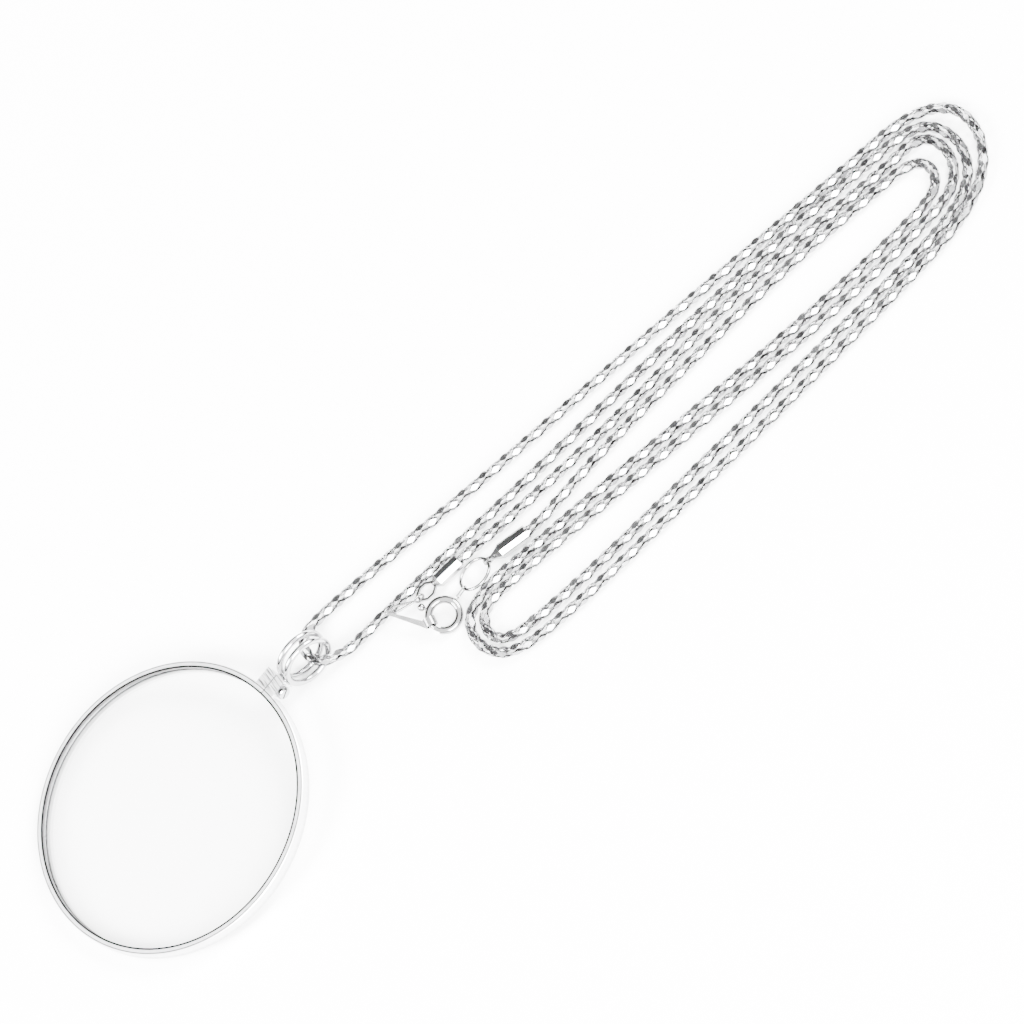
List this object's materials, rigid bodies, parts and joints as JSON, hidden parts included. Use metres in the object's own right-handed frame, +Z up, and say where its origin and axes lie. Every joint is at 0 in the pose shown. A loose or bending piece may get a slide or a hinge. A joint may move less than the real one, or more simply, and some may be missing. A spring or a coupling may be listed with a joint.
{
  "type": "magnifier pendant",
  "caption": "Round magnifying glass in a slim silver bezel with a double-ring bail, on a long faceted chain with a spring ring clasp.",
  "frame": {"origin": "on the surface, under the middle of the whole laid-down object", "axes": "+Z up from the surface, +X from the pendant along the folded chain, +Y to the far side"},
  "size_m": [0.184, 0.0466, 0.0089],
  "materials": {
    "silver": "polished",
    "satin_silver": "satin",
    "chain_silver": "polished",
    "glass": "clear"
  },
  "bodies": {
    "necklace": {"bezel": "satin_silver", "lens": "glass", "clamp_screw": "silver", "bail": "silver", "chain_catch_side": "chain_silver", "chain_ring_side": "chain_silver", "end_cap_catch": "silver", "end_cap_ring": "silver", "jump_ring": "silver", "spring_ring": "silver", "catch_link": "satin_silver"},
    "trigger": {"trigger": "silver"}
  },
  "joints": [
    {"name": "trigger_slide_round", "type": "hinge", "parent": "necklace", "child": "trigger", "pos_m": [-0.01776, -0.00608, 0.0013], "axis": [-0.0658, 0.2849, -0.9563], "range_deg": [0, 43], "stiffness_Nm_per_rad": 0.002}
  ]
}
